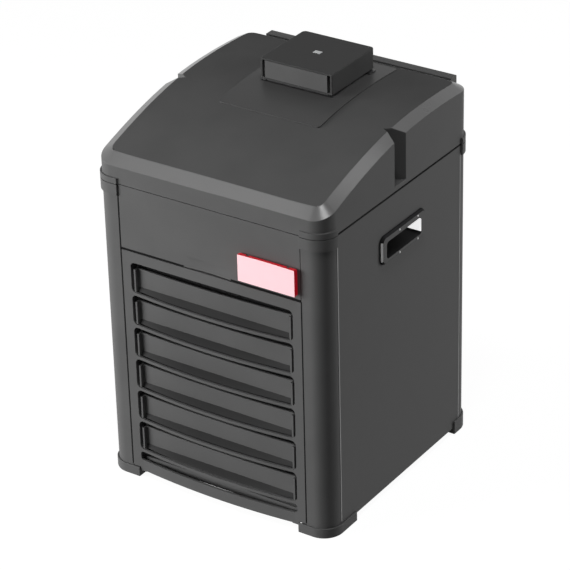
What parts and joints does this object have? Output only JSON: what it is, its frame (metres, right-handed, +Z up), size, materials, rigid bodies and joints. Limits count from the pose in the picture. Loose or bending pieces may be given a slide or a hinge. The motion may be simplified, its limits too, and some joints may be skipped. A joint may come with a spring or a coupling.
{
  "type": "aquarium cooling unit",
  "caption": "Tower-shaped aquarium water chiller with a louvred tilting intake grille, display flap, side grips, curved lid with a control module, and swivel hose elbows at the rear.",
  "frame": {"origin": "on the floor, under the middle of the unit's bounding box", "axes": "+X to the right seen from the front, +Y to the rear, +Z up"},
  "size_m": [0.3076, 0.3598, 0.4711],
  "materials": {
    "cabinet_abs": "fine grained moulded plastic, dark grey",
    "black_abs": "moulded plastic, near black",
    "label_film": "satin film on a thin plate, blank",
    "module_abs": "fine grained moulded plastic",
    "status_lens": "frosted light pipe",
    "red_acrylic": "polished acrylic, pale red face and deep red edges",
    "screen_glass": "dark display glass",
    "key_rubber": "silicone rubber",
    "filter_mesh": "woven dust mesh in a frame",
    "zinc_sheet": "zinc coated sheet",
    "fin_aluminium": "rolled fin stock",
    "copper_tube": "drawn copper tube",
    "black_enamel": "black enamelled steel",
    "grommet_rubber": "moulded rubber",
    "vessel_foam": "closed cell insulation",
    "water_pipe_plastic": "extruded plastic pipe"
  },
  "bodies": {
    "cabinet": {"front_left_pillar": "cabinet_abs", "front_right_pillar": "cabinet_abs", "rear_left_pillar": "cabinet_abs", "rear_right_pillar": "cabinet_abs", "right_side_panel": "cabinet_abs", "left_side_panel": "cabinet_abs", "control_panel": "cabinet_abs", "lid": "cabinet_abs", "rear_cover": "cabinet_abs", "front_left_foot": "cabinet_abs", "front_right_foot": "cabinet_abs", "rear_left_foot": "cabinet_abs", "rear_right_foot": "cabinet_abs", "right_handle": "black_abs", "left_handle": "black_abs", "module_bracket": "black_abs", "controller_body": "black_abs", "fan_shroud": "black_abs", "fan_bracket": "black_abs", "terminal_cover": "black_abs", "electrics_box": "black_abs", "mains_inlet": "black_abs", "water_inlet_fitting": "black_abs", "water_outlet_fitting": "black_abs", "evaporator_cap": "black_abs", "lid_label_plate": "label_film", "module_case": "module_abs", "module_front_plate": "module_abs", "module_status_lens": "status_lens", "display_screen": "screen_glass", "base_tray": "zinc_sheet", "rear_panel": "zinc_sheet", "rear_cover_screws": "zinc_sheet", "condenser": "fin_aluminium", "condenser_bends": "copper_tube", "discharge_pipe": "copper_tube", "liquid_pipe": "copper_tube", "capillary_pipe": "copper_tube", "suction_pipe": "copper_tube", "filter_drier": "copper_tube", "compressor_shell": "black_enamel", "fan_motor": "black_enamel", "compressor_grommets": "grommet_rubber", "evaporator_vessel": "vessel_foam", "water_inlet_pipe": "water_pipe_plastic", "water_outlet_pipe": "water_pipe_plastic"},
    "grille": {"intake_grille": "cabinet_abs", "dust_filter": "filter_mesh"},
    "flap": {"display_flap": "red_acrylic"},
    "set_key": {"set_key": "key_rubber"},
    "down_key": {"down_key": "key_rubber"},
    "up_key": {"up_key": "key_rubber"},
    "fan": {"fan_rotor": "black_abs"},
    "inlet_elbow": {"water_inlet_elbow": "black_abs"},
    "outlet_elbow": {"water_outlet_elbow": "black_abs"}
  },
  "joints": [
    {"name": "grille_tilt", "type": "hinge", "parent": "cabinet", "child": "grille", "pos_m": [0, -0.1654, 0.015], "axis": [1, 0, 0], "range_deg": [0, 35]},
    {"name": "flap_lift", "type": "hinge", "parent": "cabinet", "child": "flap", "pos_m": [0.0785, -0.176, 0.3298], "axis": [-1, 0, 0], "range_deg": [0, 80]},
    {"name": "fan_spin", "type": "hinge", "parent": "cabinet", "child": "fan", "pos_m": [0, -0.1116, 0.149], "axis": [0, 1, 0], "continuous": true},
    {"name": "inlet_swivel", "type": "hinge", "parent": "cabinet", "child": "inlet_elbow", "pos_m": [0.072, 0.1566, 0.07], "axis": [0, 1, 0], "range_deg": [-90, 90]},
    {"name": "outlet_swivel", "type": "hinge", "parent": "cabinet", "child": "outlet_elbow", "pos_m": [0.072, 0.1566, 0.15], "axis": [0, 1, 0], "range_deg": [-90, 90]},
    {"name": "set_key_press", "type": "slide", "parent": "cabinet", "child": "set_key", "axis": [0, 1, 0], "range_m": [0, 0.001], "stiffness_N_per_m": 400},
    {"name": "down_key_press", "type": "slide", "parent": "cabinet", "child": "down_key", "axis": [0, 1, 0], "range_m": [0, 0.001], "stiffness_N_per_m": 400},
    {"name": "up_key_press", "type": "slide", "parent": "cabinet", "child": "up_key", "axis": [0, 1, 0], "range_m": [0, 0.001], "stiffness_N_per_m": 400}
  ]
}
